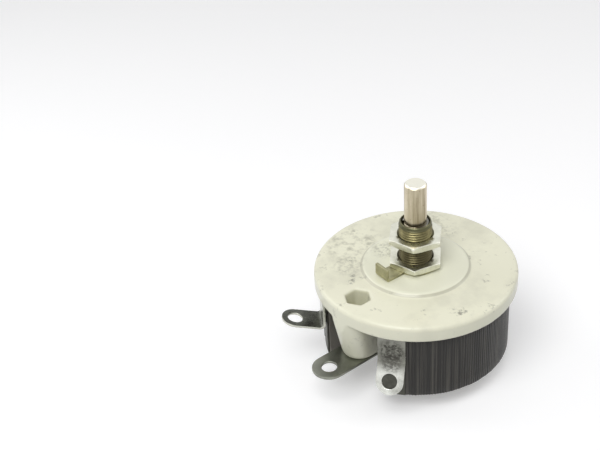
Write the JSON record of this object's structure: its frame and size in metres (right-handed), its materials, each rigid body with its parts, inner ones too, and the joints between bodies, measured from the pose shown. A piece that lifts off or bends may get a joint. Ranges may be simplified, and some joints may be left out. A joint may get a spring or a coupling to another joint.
{
  "type": "wirewound rheostat",
  "caption": "Panel-mounted power rheostat: wire wound on a ceramic ring, swept by a brush arm on a plain round shaft, with a threaded bushing and solder lugs.",
  "frame": {"origin": "on the shaft axis, at the face of the base nut that meets the back of the panel", "axes": "+Z along the shaft, out of the panel; the terminals point towards -Y; +X to the right seen from the front with the terminals down"},
  "size_m": [0.0584, 0.0675, 0.0589],
  "materials": {
    "base_ceramic": "fired cream ceramic, matt with a faint gloss and grey handling marks",
    "hub_ceramic": "fired cream ceramic, matt",
    "core_ceramic": "fired cream ceramic, matt",
    "bushing_brass": "brass with a dull olive plating",
    "nickel": "nickel plated, satin",
    "shaft_steel": "nickel plated steel with drawn streaks",
    "spring_steel": "tempered steel, dark satin",
    "zinc_plate": "zinc plated with a pale yellow passivate",
    "bright_tin": "hot tinned, bright",
    "dull_tin": "tinned, dull blue grey",
    "rivet_brass": "brass, satin",
    "brush_graphite": "pressed copper graphite, matt",
    "wire_alloy": "resistance alloy wire, ground bright along the track",
    "black_enamel": "vitreous enamel, near black and glossy",
    "bond_cement": "vitreous enamel, dark brown"
  },
  "bodies": {
    "housing": {"ceramic_base": "base_ceramic", "threaded_bushing": "bushing_brass", "base_nut": "nickel", "locating_plate": "zinc_plate", "slip_ring_terminal": "dull_tin", "foot_screw": "zinc_plate", "foot_nut": "zinc_plate", "ceramic_core": "core_ceramic", "resistance_wire": "wire_alloy", "enamel_coat": "black_enamel", "enamel_bond": "bond_cement", "right_end_band": "bright_tin", "left_end_band": "bright_tin", "right_terminal": "bright_tin", "left_terminal": "bright_tin"},
    "rotor": {"shaft": "shaft_steel", "front_snap_ring": "spring_steel", "rear_snap_ring": "spring_steel", "thrust_washer": "zinc_plate", "drive_hub": "hub_ceramic", "contact_arm": "spring_steel", "contact_brush": "brush_graphite", "brush_holder": "zinc_plate", "brush_rivet": "rivet_brass", "hub_rivets": "rivet_brass", "pressure_spring": "spring_steel", "contact_carrier": "rivet_brass", "ring_contact": "brush_graphite"},
    "nut": {"mounting_nut": "nickel"}
  },
  "joints": [
    {"name": "shaft_turn", "type": "hinge", "parent": "housing", "child": "rotor", "pos_m": [0, 0, 0], "axis": [0, 0, 1], "range_deg": [-150, 150]},
    {"name": "nut_travel", "type": "slide", "parent": "housing", "child": "nut", "axis": [0, 0, 1], "range_m": [-0.0055, 0.0061]}
  ]
}
